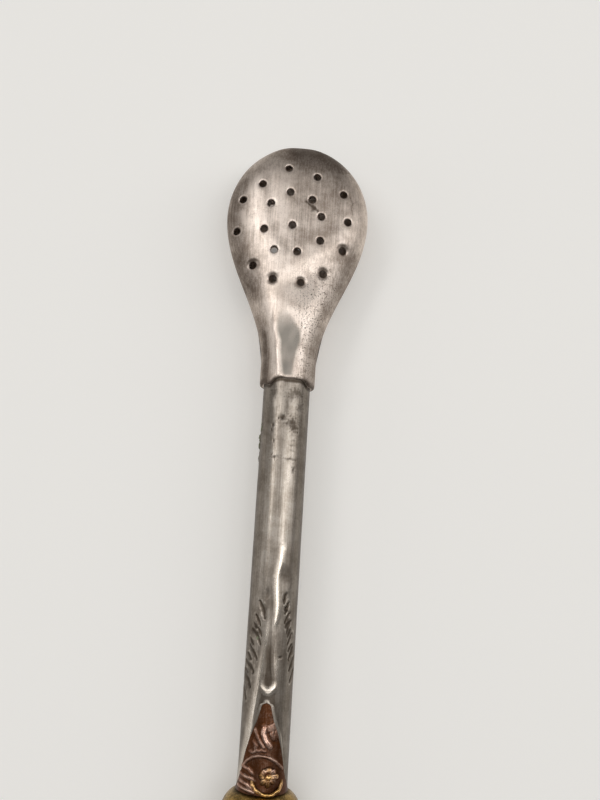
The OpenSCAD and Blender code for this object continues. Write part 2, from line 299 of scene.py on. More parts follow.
def worn_metal(name, colours, rough, rub, cloud_size, pit_size, cloud_share, dark_share, extra):
    """A metal with rub marks along the straw, clouds of tarnish and corroded pits where its wear and painted
    light say.
    Colours are where it is rubbed, clouded and blackened, and rough is its roughness when rubbed and when
    blackened. Rub is the width and depth of the rub marks. Cloud_share is how much the clouds show, and
    dark_share how black tarnish gets. Extra is the finish at the wear's third share: its colour, its
    roughness and whether it is metal."""
    material = bpy.data.materials.new(name)
    material.use_nodes = True
    tree = material.node_tree
    tree.nodes.clear()
    bright, cloudy, dark = (linear(code) for code in colours)
    place = node(tree, "ShaderNodeTexCoord", {}).outputs["Object"]
    wear_and_painted_light = node(tree, "ShaderNodeAttribute", {"attribute_name": "wear_and_painted_light"})
    shares = node(tree, "ShaderNodeSeparateColor", {}, Color=wear_and_painted_light.outputs["Color"])
    tarnish_and_painted_light, pitted, other = (shares.outputs[i] for i in range(3))

    # Rub marks: long along the straw, and drawn wider than polishing grit leaves them, so that they show
    across, deep = rub
    stretched = node(tree, "ShaderNodeMapping",
                     {"Scale": (1 / (across * MM), 1 / (RUB_STRETCH * across * MM), 1 / (across * MM))},
                     Vector=place)
    marks = node(tree, "ShaderNodeTexNoise", {"Scale": 1.0, "Detail": 3.0, "Roughness": 0.6},
                 Vector=stretched.outputs["Vector"])
    cloud = node(tree, "ShaderNodeTexNoise",
                 {"Scale": 1 / (cloud_size * MM), "Detail": 6.0, "Roughness": 0.72}, Vector=place)
    grain = node(tree, "ShaderNodeTexNoise",
                 {"Scale": 1 / (pit_size * MM), "Detail": 2.0, "Roughness": 0.5}, Vector=place)
    pits = node(tree, "ShaderNodeMapRange",
                {"From Min": PITS_FROM, "From Max": PITS_FULL, "interpolation_type": "SMOOTHSTEP"},
                Value=grain.outputs["Fac"])
    pits = node(tree, "ShaderNodeMath", {"operation": "MULTIPLY"}, _0=pits.outputs["Result"], _1=pitted)

    # Tarnish stays in the hollows and lies in clouds elsewhere
    streaks = node(tree, "ShaderNodeMath", {"operation": "MULTIPLY_ADD", 1: 0.5}, _0=marks.outputs["Fac"],
                   _2=cloud.outputs["Fac"])
    streaks = node(tree, "ShaderNodeMath", {"operation": "MULTIPLY_ADD", 1: 0.25}, _0=grain.outputs["Fac"],
                   _2=streaks.outputs["Value"])
    clouds = node(tree, "ShaderNodeMapRange", {"From Min": CLOUDS_FROM, "From Max": CLOUDS_FULL},
                  Value=streaks.outputs["Value"])
    patch = node(tree, "ShaderNodeMath", {"operation": "MULTIPLY_ADD", 1: cloud_share},
                 _0=clouds.outputs["Result"], _2=tarnish_and_painted_light)
    patch = node(tree, "ShaderNodeMapRange",
                 {"From Min": 0.6 * cloud_share, "From Max": 1 + 0.35 * cloud_share,
                  "interpolation_type": "SMOOTHSTEP"}, Value=patch.outputs["Value"])
    black = node(tree, "ShaderNodeMath", {"operation": "MAXIMUM", "use_clamp": True},
                 _0=patch.outputs["Result"], _1=pits.outputs["Value"])
    black = node(tree, "ShaderNodeMath", {"operation": "MULTIPLY", 1: dark_share}, _0=black.outputs["Value"])
    body = node(tree, "ShaderNodeMix", {"data_type": "RGBA", 6: bright, 7: cloudy},
                _0=clouds.outputs["Result"])
    body = node(tree, "ShaderNodeMix", {"data_type": "RGBA", 7: dark}, _0=black.outputs["Value"],
                _6=body.outputs[2])
    body = node(tree, "ShaderNodeMix", {"data_type": "RGBA", 7: linear(extra[0])}, _0=other,
                _6=body.outputs[2])

    # Rubbed metal shines, and tarnish is dull
    dull = node(tree, "ShaderNodeMath", {"operation": "MULTIPLY_ADD", 1: 0.3}, _0=marks.outputs["Fac"],
                _2=black.outputs["Value"])
    dull = node(tree, "ShaderNodeMapRange",
                {"From Min": 0.1, "From Max": 1.0, "To Min": rough[0], "To Max": rough[1]},
                Value=dull.outputs["Value"])
    dull = node(tree, "ShaderNodeMix", {3: extra[1]}, _0=other, _2=dull.outputs["Result"])
    smooth = node(tree, "ShaderNodeMath", {"operation": "SUBTRACT", 0: 1.0, "use_clamp": True}, _1=other)
    scratches = node(tree, "ShaderNodeBump", {"Distance": deep * MM}, Strength=smooth.outputs["Value"],
                     Height=marks.outputs["Fac"])
    pitting = node(tree, "ShaderNodeBump", {"Strength": 1.0, "Distance": PIT_DEPTH * MM, "invert": True},
                   Height=pits.outputs["Value"], Normal=scratches.outputs["Normal"])
    shader = node(tree, "ShaderNodeBsdfPrincipled", {"Metallic": 1.0}, Base_Color=body.outputs[2],
                  Roughness=dull.outputs[0], Normal=pitting.outputs["Normal"])
    if not extra[2]:
        tree.links.new(smooth.outputs["Value"], shader.inputs["Metallic"])
    node(tree, "ShaderNodeOutputMaterial", {}, Surface=shader.outputs["BSDF"])
    return material


# Silver, drawn into a tube: polished by hands and cloths, warm grey with a dark film in the chased cuts and
# on the flanks, where the film is also painted shade, and specks of dull green verdigris
drawn_silver = worn_metal(
    "drawn_silver_hand_worn", colours=("#d8cec2", "#c3b7a9", "#35291d"), rough=(0.18, 0.42), rub=(0.2, 0.004),
    cloud_size=3.5, pit_size=0.3, cloud_share=0.12, dark_share=0.92, extra=("#8b9674", 0.8, False))

# Silver sheet, pressed and planished: satin from lengthwise rubbing, so highlights spread. The filed facet on
# its neck is smooth, and its grey, darker than the rubbed sheet, is a painted reflection of dark
# surroundings.
pressed_silver = worn_metal(
    "pressed_silver_satin", colours=("#f4e6da", "#cdbcae", "#453629"), rough=(0.4, 0.62), rub=(0.24, 0.03),
    cloud_size=4.0, pit_size=0.2, cloud_share=0.18, dark_share=0.88, extra=("#868078", 0.34, True))

# Gilt copper, cast in relief: most gold is rubbed off, so red-brown copper shows. Its pale rubbed colour is
# also painted highlight on the relief, and its gold on the medallion's raised tops is partly painted glints.
cast_gilt = worn_metal(
    "gilt_copper_cast_worn", colours=("#ecc9b6", "#c2917a", "#4d2a12"), rough=(0.2, 0.4), rub=(0.1, 0.002),
    cloud_size=1.6, pit_size=0.2, cloud_share=0.2, dark_share=0.98, extra=("#d9aa55", 0.25, True))

# Gilt silver, hammered and soldered: satin gold that has gone olive under an old film, and is rubbed bright
# on edges
hammered_gilt = worn_metal(
    "gilt_silver_hammered_dull", colours=("#b39254", "#7f6636", "#2c230f"), rough=(0.26, 0.55),
    rub=(0.16, 0.005), cloud_size=4.5, pit_size=0.35, cloud_share=0.4, dark_share=0.85,
    extra=("#cba75c", 0.24, True))


# The strainer: two pressed halves with punched holes, and a neck that grips the tube

# Two rings of holes, as in the part's source. The slips of the punch are degrees along the ring and
# millimetres away from it, and half the ring's width and length follow.
RING_SHIFT = 0.7
RING_DROP = 2.6
RINGS = [
    ([7, 6, 5, 8, 9, 7, 12, 13, 17, 6, 4, 9],
     [0.3, -0.2, 0.8, 0, -0.1, -0.1, 0, -0.1, -0.3, 0, 0.2, -0.7], 9.1, 9.7),
    ([7, 9, 19, 21, 15, 10, 9, 4], [0.5, 0.5, 0.3, 0.5, -0.6, 0.1, 0, 0.3], 4.6, 5.2),
]

# The punch sank the sheet round each hole, and more round these holes of the outer ring
HOLLOW = 0.05
DEEP_HOLLOW = 0.26
DEEP_HOLES = range(4, 9)

# A punched hole's rings, from its soft edge to its wall: radius, share of the hollow round it, depth and
# tarnish. The last ring lies on the inner wall.
HOLE_RINGS = [(1.2, 0.0, 0.0, 0.0), (1.0, 0.2, 0.0, 0.0), (0.84, 0.5, 0.0, 0.0), (0.73, 0.8, 0.0, 0.0),
              (0.66, 1.0, 0.03, 0.0), (0.615, 1.0, 0.09, 0.3), (HOLE_R, 1.0, 0.2, 0.4),
              (HOLE_R, None, 0.0, 0.4)]

# Edges of the facet that is filed on the neck's front: places from the lip, x there and the rise of the burrs
FACET_U = [0.0, 1.5, 3.0, 5.2, 6.7, 8.4, 9.8, 11.5, 12.7]
FACET_LEFT = [-1.15, -1.4, -1.6, -1.85, -1.95, -2.6, -2.65, -2.5, -2.4]
FACET_RIGHT = [1.15, 1.2, 1.3, 1.65, 2.1, 2.05, 1.0, -0.3, -1.2]
FACET_L = FACET_U[-1]
LEFT_BURR, RIGHT_BURR = 0.07, 0.05
# How hollow and how wavy the file left it
FACET_HOLLOW, FACET_WAVE = 0.06, 0.04

# A crease down the face's left side: places from the lip, and x there
FOLD_U = [20.2, 22.4, 23.9, 26.6, 29.4, 33.8]
FOLD_X = [-3.6, -4.5, -5.4, -6.3, -6.8, -7.35]
FOLD_DEPTH = 0.11

# The planished face: where it starts, where its slope to the neck ends on the middle line and how much
# higher that is for each millimetre to the right, how far slope and sides sink, and the hammer's marks
FACE_U = 10.5
SLOPE_U, SLOPE_SLANT = 19.8, 0.55
SLOPE_DEPTH = 0.3
RIGHT_LEAN, LEFT_LEAN = 0.42, 0.25
HAMMER_DEPTH, GRAIN_DEPTH = 0.045, 0.012

# The lip is drawn in over a short length, and its edge is rounded. It is torn back in front, and the bend
# fades out along the neck.
LIP_TAPER_L, LIP_TAPER = 0.45, 0.1
LIP_ROUND = 0.22
LIP_TEAR = 0.9
LIP_FORWARD = 0.22
LIP_BEND_L = 5

# Dark scratches on the face: (x, place from the lip) points and half width
SCRATCHES = [
    ([(1.4, 30.2), (2.3, 29.4), (3.3, 28.7)], 0.3), ([(2.4, 29.9), (2.7, 29.2), (2.4, 28.6)], 0.22),
    ([(8.6, 31.6), (9.0, 30.7), (8.7, 29.8), (9.1, 28.8)], 0.18), ([(-3.4, 21.2), (-2.4, 21.5)], 0.18),
]

# Tarnish, pitting and polish of the strainer's inside
INSIDE_WEAR = (0.2, 0.15, 0.0)

# Fineness of the meshes: faces across each sheet, and round a hole
STRAINER_COLUMNS = 130
HOLE_STEPS = 36
# Room between a hole and the faces left round it, on the outer and inner sheet, and how much further out
# the rim of those faces is set
HOLE_ROOM, WALL_ROOM = 0.1, 0.2
RIM_ROUNDING = 0.12


def strainer_row(u, depth, wall):
    """Half width, depth, flattening and fullness of the section at a place from the lip"""
    if u <= BELLY:
        e = ease((u - NECK_L) / FLARE_L)
        thick = wall and SHEET_T + LEDGE_H * (1 - e)
        drawn = NECK_R + (FLATTEN * depth - NECK_R) * e
        return (NECK_R + (HALF_W - NECK_R) * e - thick, soft_min(depth, drawn, DEPTH_BLEND) - thick,
                1 + (FLATTEN - 1) * e, 2 + (FULLNESS - 2) * e)
    thick = wall and SHEET_T
    cosine = math.sqrt(max(0.0, 1 - ((u - BELLY) / (HEAD_L - thick)) ** 2))
    closing = soft_min(1.0, FLATTEN * cosine ** (2 / FULLNESS), HEAD_BLEND)
    return (HALF_W - thick) * cosine, (depth - thick) * closing, FLATTEN, FULLNESS


def section_height(x, row):
    """Height of a section over the tube's axis, with a soft turn to its flat middle"""
    half, depth, flattening, fullness = row
    share = min(1.0, abs(x) / half) if half > 1e-6 else 1.0
    rise = flattening * (1 - share ** fullness) ** (1 / fullness)
    return depth * soft_min(1.0, rise, 0.001 + SOFT_EDGE * (flattening - 1) / (FLATTEN - 1))


def planished(x, u):
    """How far the front lies under the pressed form: its face leans both ways and slopes off to the neck"""
    face = ease((u - FACE_U) / 8)
    edge = SLOPE_U + SLOPE_SLANT * max(-3.0, x)
    slope = (SLOPE_DEPTH + 0.16 * ease(x / 6)) * ease((edge - u) / 3.6)
    lean = RIGHT_LEAN * ease((x + 4) / 12) + LEFT_LEAN * ease((-2 - x) / 5)
    hammered = HAMMER_DEPTH * (1 + uneven(x, u, 1.7, 4.5)) + GRAIN_DEPTH * uneven(x, u, 5.1, 1.1)
    fold = FOLD_DEPTH * ease((between(FOLD_U, FOLD_X, u) - x) / 0.75)
    return (slope + lean + hammered) * face + fold * ease((u - 19) / 6) * ease((38 - u) / 4)


def facet_edges(u):
    """Left and right edge of the filed facet"""
    return between(FACET_U, FACET_LEFT, u), between(FACET_U, FACET_RIGHT, u)


def filed(x, u, z, row):
    """The height of the neck's front once its facet is filed, with a fine burr along both edges"""
    left, right = facet_edges(u)
    if u > FACET_L or right <= left:
        return z
    shown = ease((FACET_L - u) / 3)
    burr = shown * (LEFT_BURR * hump(x - left, 0.55) + RIGHT_BURR * hump(x - right, 0.5))
    # The file ran between these two places across, a little wider towards the face
    low, high = -1.2 - 0.11 * u, 1.15 + 0.1 * u - 0.016 * max(0.0, u - 6) ** 2
    t = (x - low) / (high - low)
    flat = section_height(low, row) * (1 - t) + section_height(high, row) * t
    if 0 < t < 1:
        flat -= FACET_HOLLOW * math.sin(math.pi * t) + FACET_WAVE * uneven(x, u, 3.3, 2.4)
    return z + (soft_min(z, flat, 0.16) - z) * shown + burr


def lip_reach(turn):
    """How far the lip stands back from its mean place at an angle in degrees: a tear and two small bites"""
    torn = LIP_TEAR * ease((turn + 46) / 22) * ease((62 - turn) / 26)
    return torn + 0.15 * hump(turn + 13, 12) + 0.25 * hump(turn + 68, 22) - LIP_FORWARD


def lip_size(u):
    """The share of its size that the neck keeps near the lip"""
    taper = LIP_TAPER * max(0.0, LIP_TAPER_L - u) / LIP_TAPER_L
    rounding = LIP_ROUND - math.sqrt(LIP_ROUND ** 2 - max(0.0, LIP_ROUND - u) ** 2)
    return 1 - (taper + rounding) / NECK_R


def punched_holes(side):
    """Each hole's x, its place from the lip and the depth of the hollow round it"""
    holes = [(0.0, 0.0, HOLLOW)]
    for ring, (turns, strays, half_w, half_l) in enumerate(RINGS):
        for i, (turn, stray) in enumerate(zip(turns, strays)):
            angle = math.radians(90 - 360 * i / len(turns) + turn)
            hollow = DEEP_HOLLOW if ring == 0 and i in DEEP_HOLES else HOLLOW
            holes.append(((half_w + stray) * math.cos(angle), (half_l + stray) * math.sin(angle), hollow))
    return [(x - side * RING_SHIFT, u + BELLY - RING_DROP, hollow) for x, u, hollow in holes]


def strainer_wear_and_painted_light(x, u, half, side):
    """Film on the flanks, the tip and round the neck, with painted shade on the flanks, the tip and the face,
    a painted highlight on the lip and the crease, pits on the lower right, and the polished facet with its
    painted reflection
    """
    share = x / (half if u < BELLY else HALF_W)
    out = math.hypot(share, max(0.0, u - BELLY) / HEAD_L)
    neck = ease((12 - u) / 5)
    facet = neck * hump(x, 2.7)

    # Film, with painted shade, on the flanks and the tip; film on the right of the neck and in a strip down
    # its left
    tarnish_and_painted_light = 0.5 * ease((out - 0.42) / 0.5) * (0.76 - 0.16 * share) + 0.12 * ease((u - 33) / 7)
    tarnish_and_painted_light += 0.25 * neck * (1 - facet) * ease(x / 2)
    left_strip = 0.6 * ease((-1.9 - x) / 0.6) * ease((share + 1) / 0.3)
    tarnish_and_painted_light += 0.28 * neck * (hump(share + 0.8, 0.25) + left_strip)
    # Painted shade, and film, on the face over its slope, and on the right and the left of the slope
    tarnish_and_painted_light += 0.43 * ease((u - 19.4 - 0.5 * max(-3.0, x)) / 3.6) * within(x, -3.5, 10, 4)
    tarnish_and_painted_light += 0.24 * ease((x - 1) / 4) * within(u, 10, 25, 4)
    tarnish_and_painted_light += 0.26 * ease((-2 - x) / 3) * within(u, 12, 23, 4)
    # The lip is dark, with a painted highlight in front
    tarnish_and_painted_light += 0.3 * hump(u, 0.9) - 0.9 * hump(u, 0.8) * hump(x + 0.2, 3.4)
    pitted = 0.1 + 0.9 * ease((21.5 - u) / 6) * ease((x + 1) / 5) * (1 - 0.9 * facet)
    if side < 0:
        return tarnish_and_painted_light, pitted, 0.0

    # Only the front has the scratches, the crease and the facet
    if 18 < u < 34:
        for line, width in SCRATCHES:
            tarnish_and_painted_light += 1.7 * width * hump(near_line(x, u, line)[0], width * (1.0 + uneven(x, u, 2.2, 0.4)))
    # Along the crease: painted shade beside it and a painted highlight on its line
    past = between(FOLD_U, FOLD_X, u) + 0.2 - x
    shown = ease((u - 19) / 5) * ease((37 - u) / 4)
    tarnish_and_painted_light += shown * (0.2 * ease((past - 0.4) / 1.3) + 0.42 * hump(past + 1.8, 1.7) - 0.4 * hump(past, 0.5))
    left, right = facet_edges(u)
    # The smooth filed facet, whose darker grey is painted reflection of dark surroundings
    polish_and_painted_reflection = min(1.0, 0.93 + 0.2 * uneven(x, 0.5 * u, 8.8, 1.3))
    polish_and_painted_reflection *= ease((u - 0.4) / 0.3) * ease((12.9 - u) / 4.4)
    polish_and_painted_reflection *= ease((x - left - 0.25) / 0.6) * ease((right - x) / 0.75)
    return tarnish_and_painted_light, pitted, polish_and_painted_reflection


def strainer_half(name, depth, side, node_name):
    """One half, the front for side 1 and the back for side -1: an outer sheet with punched holes and an
    inner sheet, joined along the lip and the seam"""
    bm, wear_and_painted_light = start_piece()

    def half_width(u, wall):
        """Half the width of a sheet at a place from the lip"""
        return SOCKET_R if wall and u <= SOCKET_DEPTH else strainer_row(u, depth, wall)[0]

    def height(x, u, wall):
        """Height over the tube's axis of the inner wall or the outer face"""
        if wall and u <= SOCKET_DEPTH:
            return math.sqrt(max(0.0, SOCKET_R ** 2 - x * x))
        row = strainer_row(u, depth, wall)
        z = section_height(x, row)
        if side < 0:
            return z
        if not wall:
            z = filed(x, u, z, row)
        return z - planished(x, u) * min(1.0, z)

    def on_sheet(x, u, wall, sink=0.0):
        """The point of a sheet at a place, sunk by some depth"""
        return Vector((x, LIP_Y + u, AXIS_H + side * (height(x, u, wall) - sink)))

    def put(wall):
        def place(across, u):
            beta = math.pi * (across - 0.5)
            half = half_width(u, wall)
            x = half * math.sin(beta)
            turn = math.degrees(beta) if side > 0 else 180 - math.degrees(beta)
            near_lip = max(0.0, 1 - u / LIP_BEND_L) ** 2
            size = 1.0 if wall else lip_size(u)
            point = Vector((x * size, LIP_Y + u + lip_reach(turn) * near_lip,
                            AXIS_H + side * max(0.01, height(x, u, wall) * size)))
            return point, INSIDE_WEAR if wall else strainer_wear_and_painted_light(x, u, half, side)
        return place

    def open_up(faces, cx, cu, reach, wall):
        """Takes away a sheet's faces near a hole, rounds the rim that is left and gives its edges"""
        def away(v):
            return math.hypot(v.co.x - cx, v.co.y - LIP_Y - cu)

        gone = [f for f in faces if f.is_valid and any(away(v) < reach for v in f.verts)]
        around = edges_of(v for f in gone for v in f.verts)
        bmesh.ops.delete(bm, geom=gone, context="FACES")
        rim = [e for e in around if e.is_valid and e.is_boundary]
        for v in {v for e in rim for v in e.verts}:
            k = (reach + RIM_ROUNDING) / away(v)
            v.co = on_sheet(cx + (v.co.x - cx) * k, cu + (v.co.y - LIP_Y - cu) * k, wall)
        return rim

    def punch(faces, cx, cu, hollow):
        """Sets a hole with its hollow and wall into the outer sheet, and gives the wall's inner edges"""
        rim = open_up(faces, cx, cu, HOLE_RINGS[0][0] + HOLE_ROOM, False)
        ring = bmesh.ops.create_circle(bm, segments=HOLE_STEPS, radius=1.0,
                                       matrix=Matrix.Translation((cx, LIP_Y + cu, 0)))["verts"]
        edges = edges_of(ring)
        for step, (radius, share, sink, film) in enumerate(HOLE_RINGS):
            if step > 0:
                ring, edges = grow_ring(bm, edges)
            for v in ring:
                way = Vector((v.co.x - cx, v.co.y - LIP_Y - cu)).normalized()
                x, u = cx + radius * way.x, cu + radius * way.y
                v.co = on_sheet(x, u, share is None, hollow * (share or 0.0) + sink)
                # A paler ring lies round each hole, and painted shade darkens the upper part of a deep hollow
                tarnish_and_painted_light, pitted, _ = strainer_wear_and_painted_light(x, u, half_width(u, False), side)
                painted_shade_in_hollow = 2.6 * hollow * max(0.0, way.y) * hump(radius - 0.8, 0.35)
                tarnish_and_painted_light = max(film, tarnish_and_painted_light - 0.3 * hump(radius - 0.76, 0.18)) + painted_shade_in_hollow
                v[wear_and_painted_light] = (min(1.0, tarnish_and_painted_light), pitted, 0.0, 1.0)
            if step == 0:
                bmesh.ops.triangle_fill(bm, edges=rim + edges, normal=(0, 0, 1), use_beauty=True)
        return edges

    outer_rows = spaced((0, 0.3, 0.05), (0.3, BELLY, 0.26)) + rounded_off(BELLY, HEAD_L, 64)
    inner_rows = (spaced((0, SOCKET_DEPTH, 1.0)) + spaced((SOCKET_DEPTH + 0.01, BELLY, 0.45))
                  + rounded_off(BELLY, HEAD_L - SHEET_T, 40))
    holes = punched_holes(side)
    sheet(bm, wear_and_painted_light, STRAINER_COLUMNS, outer_rows, put(False))
    close_seams(bm)
    faces = list(bm.faces)
    walls = [punch(faces, *hole) for hole in holes]
    outside = set(bm.faces)
    inside = sheet(bm, wear_and_painted_light, STRAINER_COLUMNS, inner_rows, put(True))
    bmesh.ops.remove_doubles(bm, verts=inside, dist=0.0005)
    faces = [f for f in bm.faces if f not in outside]
    for (cx, cu, _), edges in zip(holes, walls):
        rim = open_up(faces, cx, cu, HOLE_R + WALL_ROOM, True)
        bmesh.ops.triangle_fill(bm, edges=rim + edges, normal=(0, 0, 1), use_beauty=True)
    bmesh.ops.bridge_loops(bm, edges=open_edges(bm))
    finish_piece(bm, name, pressed_silver, "strainer", "pierced_silver", node_name)


strainer_half("strainer_front_half", FRONT_DEPTH, 1, "strainer_front")
strainer_half("strainer_back_half", BACK_DEPTH, -1, "strainer_back")


# The chased tube

def line_on_tube(points):
    """A line of (angle, place) points as (length round the tube, place)"""
    return [(math.radians(angle) * TUBE_R, y) for angle, y in points]


def turn_at(x):
    """The angle round the tube, in radians, at which the ornament lies this far across"""
    return math.asin(max(-1.0, min(1.0, x / BORDER_R)))


# Chisel cuts of the two leaf sprays, each from its tip to its end, as (angle, place) points
CUTS = [line_on_tube(points) for points in (
    [(-32, 23.0), (-22, 21.9), (-17, 20.6)],
    [(-41, 20.9), (-32, 20.1), (-27, 19.5)], [(-49, 18.8), (-35, 18.2), (-24, 16.8)],
    [(-32, 19.0), (-23, 18.0)], [(-45, 19.6), (-36, 19.1)],
    [(-56, 16.5), (-40, 15.4), (-31, 14.6)], [(-54, 17.4), (-44, 16.6)],
    [(-74, 14.2), (-46, 13.4), (-38, 12.5)], [(-62, 15.2), (-48, 14.4)],
    [(-84, 12.6), (-54, 11.6), (-45, 10.4)], [(-72, 12.9), (-56, 12.4)],
    [(-92, 10.9), (-70, 10.0), (-58, 8.6)],
    [(30, 24.2), (28, 22.9)], [(39, 22.9), (32, 21.4)], [(44, 21.4), (32, 20.0)], [(36, 22.2), (31, 21.9)],
    [(49, 20.3), (38, 18.4)], [(42, 20.1), (35, 19.3)], [(57, 18.4), (43, 16.8)], [(50, 18.9), (42, 18.0)],
    [(63, 16.4), (50, 14.6)], [(57, 16.8), (47, 15.9)], [(72, 15.0), (53, 13.0)], [(75, 13.1), (59, 11.4)],
)]
# A cut's depth, its burr, and half its width at the ends and how much more it is in the middle
CUT_DEPTH = 0.16
CUT_BURR = 0.012
CUT_THIN, CUT_SWELL = 0.15, 0.33

# The crest over the border's tip, and the place that no ornament passes
CREST = line_on_tube([(16, 31.0), (12.5, 29.0), (8, 27.9), (4.5, 26.6), (5, 25.0), (8, 23.8), (11, 22.4),
                      (11, 21.2), (8.5, 19.9), (6, 18.9)])
ORNAMENT_END = 33
# How far the tube swells round the border, the rib and the crest rise on it, and the tube sinks under it
SWELL_RISE, RIB_RISE, CREST_RISE = 0.08, 0.1, 0.11
BORDER_ROOM = 0.2

# Knocks and corrosion: angle, place, half width, half length, depth, tarnish, crust and how ragged they are
KNOCKS = [
    (27, 26.8, 1.0, 1.6, 0.09, 0.42, 0.0, 0.0),
    (-4, 51.2, 0.42, 0.4, 0.12, 0.95, 0.0, 0.4),
    (19, 50.4, 0.95, 0.75, 0.03, 0.8, 0.0, 1.0),
    (24, 49.7, 0.65, 0.85, 0.03, 0.8, 0.0, 1.0),
    (25, 15.0, 0.34, 0.16, 0.08, 0.85, 0.0, 0.4),
    (-14, 24.2, 0.32, 0.85, 0.06, 0.4, 0.0, 0.3),
    (4, 53.4, 0.36, 1.7, 0.04, 0.4, 0.0, 0.5),
    (-14, 51.0, 0.18, 0.2, 0.07, 0.8, 0.0, 0.2),
    (-29, 50.0, 0.2, 0.34, 0.08, 0.85, 0.0, 0.5),
    (-31, 49.2, 0.18, 0.3, 0.08, 0.85, 0.0, 0.5),
    (-20, 44.85, 0.75, 0.24, 0.04, 0.6, 0.0, 1.2),
    (17, 44.7, 0.75, 0.22, 0.04, 0.6, 0.0, 1.2),
    (29, 43.0, 0.26, 0.6, 0.05, 0.7, 0.0, 0.8),
    (38, 53.0, 0.6, 0.8, 0.03, 0.5, 0.0, 1.0),
    (-20, 53.4, 0.9, 1.5, 0.07, 0.0, 0.0, 0.0),
    (26, 55.2, 1.1, 0.8, 0.02, 0.55, 0.0, 1.3),
    (14, 54.6, 0.5, 0.9, 0.02, 0.4, 0.0, 1.3),
    (-30, 55.0, 0.5, 0.7, 0.02, 0.4, 0.0, 1.3),
    (-24, 47.4, 0.12, 0.34, 0.04, 0.5, 0.0, 0.3),
    (22, 48.4, 0.5, 0.15, 0.02, 0.3, 0.0, 0.8),
    (25, 47.6, 0.55, 0.15, 0.02, 0.3, 0.0, 0.8),
    (21, 46.8, 0.5, 0.15, 0.02, 0.3, 0.0, 0.8),
    (24, 46.0, 0.5, 0.15, 0.02, 0.3, 0.0, 0.8),
    (-72, 49.6, 0.4, 0.5, -0.14, 0.5, 0.9, 1.0),
    (-84, 48.2, 0.5, 0.45, -0.26, 0.5, 0.9, 1.0),
    (-86, 46.9, 0.45, 0.6, -0.22, 0.5, 0.9, 1.0),
    (-88, 44.8, 0.3, 0.5, -0.14, 0.5, 0.7, 1.0),
    (-34, 17.6, 0.2, 0.3, 0.0, 0.3, 0.9, 0.6),
]

# The film of tarnish on the silver where hands rub it least
FILM = 0.63

# Slow waves of the drawn tube, depth of its solder seam, wear of its cut ends and bore, and faces round it
TUBE_WAVE = 0.02
SEAM_DEPTH = 0.02
BORE_WEAR = (0.9, 0.3, 0.0)
TUBE_COLUMNS = 190


def plaque_half(h):
    """Half the plaque's width at a height over the collar: an arch with a blunt tip"""
    tip = PLAQUE_L - TIP_R
    if h > tip:
        return math.sqrt(max(0.0, TIP_R ** 2 - (h - tip) ** 2))
    arc = (PLAQUE_HALF ** 2 + PLAQUE_L ** 2) / (2 * PLAQUE_HALF)
    arch = PLAQUE_HALF - arc + math.sqrt(arc * arc - h * h)
    return max(arch, TIP_R + (tip - h) * 0.28)


def border_half(h):
    """Half the border's width, which narrows evenly to its tip"""
    return BORDER_HALF * (1 - h / BORDER_L)


def swelling(x, h):
    """Rise over the tube round the border's edge: a swelling with a rib on it, softer on the right, and the
    crest over its tip. With it come how far the place lies inside the edge, and how much paler rib and crest
    are made, by rubbing and as painted highlight."""
    inside = border_half(h) - abs(x)
    right = ease(x / 0.6) * (1 - 0.6 * hump(h - 17.8, 2.6))
    outer = soft_min(1.0, max(0.0, (inside + 0.6) / 0.95), 0.3)
    rib = (outer if inside < 0.35 else hump(inside - 0.35, 1.3)) * (1 - right) * ease((25.5 - h) / 4)
    d, share = near_line(TUBE_R * turn_at(x), COLLAR_Y + h, CREST)
    end = ease((1 - share) / 0.15)
    slim = 1 - 0.5 * ease((share - 0.65) / 0.35)
    ridge = ease((share + 0.15) / 0.3) * end * slim * hump(d, 0.95 * slim)
    rise = SWELL_RISE * ease((inside + 0.9) / 1.2) + RIB_RISE * rib + CREST_RISE * ridge
    # The rib's edge and the crest are made paler: rubbing and painted highlight
    rib_rub_and_painted_highlight = 0.75 * hump(inside - 0.2, 1.0) * (1 - right) * ease((abs(x) - 0.15) / 0.5)
    return rise, inside, max(rib_rub_and_painted_highlight, end * hump(d, 0.75 * slim))


def chased(angle, y):
    """Rise of the tube's surface at an angle and place, the film in its cuts, its stains and crust, and how
    much paler it is made, by rubbing and with painted highlight on the rib and the crest"""
    a = math.radians(angle) * TUBE_R
    rise, cut, stain, crust, rub, burr = 0.0, 0.0, 0.0, 0.0, 0.0, 0.0
    if COLLAR_Y < y < ORNAMENT_END:
        for line in CUTS:
            d, share = near_line(a, y, line)
            if d < 1.2:
                width = CUT_THIN + CUT_SWELL * math.sin(math.pi * (0.12 + 0.8 * share)) ** 0.8
                width *= 1 + 0.45 * uneven(a, y, 2.6, 0.4)
                beside = hump(d - 1.3 * width, 0.5 * width)
                rise += CUT_BURR * beside - CUT_DEPTH * hump(d, width)
                cut = max(cut, 0.95 * ease((1.25 * width - d) / width))
                burr = max(burr, beside)
        if abs(angle) < 90:
            swell, inside, rub = swelling(BORDER_R * math.sin(a / TUBE_R), y - COLLAR_Y)
            rise += swell - BORDER_ROOM * ease((inside - 0.1) / 0.4)
        rub = max(rub, burr * max(0.0, 0.1 + 0.6 * uneven(a, y, 6.6, 0.7)))
    for turn, place, half_w, half_l, depth, film, green, rag in KNOCKS:
        da, dy = a - math.radians(turn) * TUBE_R, y - place
        if abs(da) < 2 * half_w and abs(dy) < 2 * half_l:
            d = math.hypot(da / half_w, dy / half_l) * (1 + rag * uneven(da + turn, dy, 0.3, 0.3))
            rise -= depth * hump(d, 1.3)
            stain = max(stain, film * hump(d, 1.35))
            crust = max(crust, green * hump(d, 1.1))
    return rise, cut, stain, crust, rub


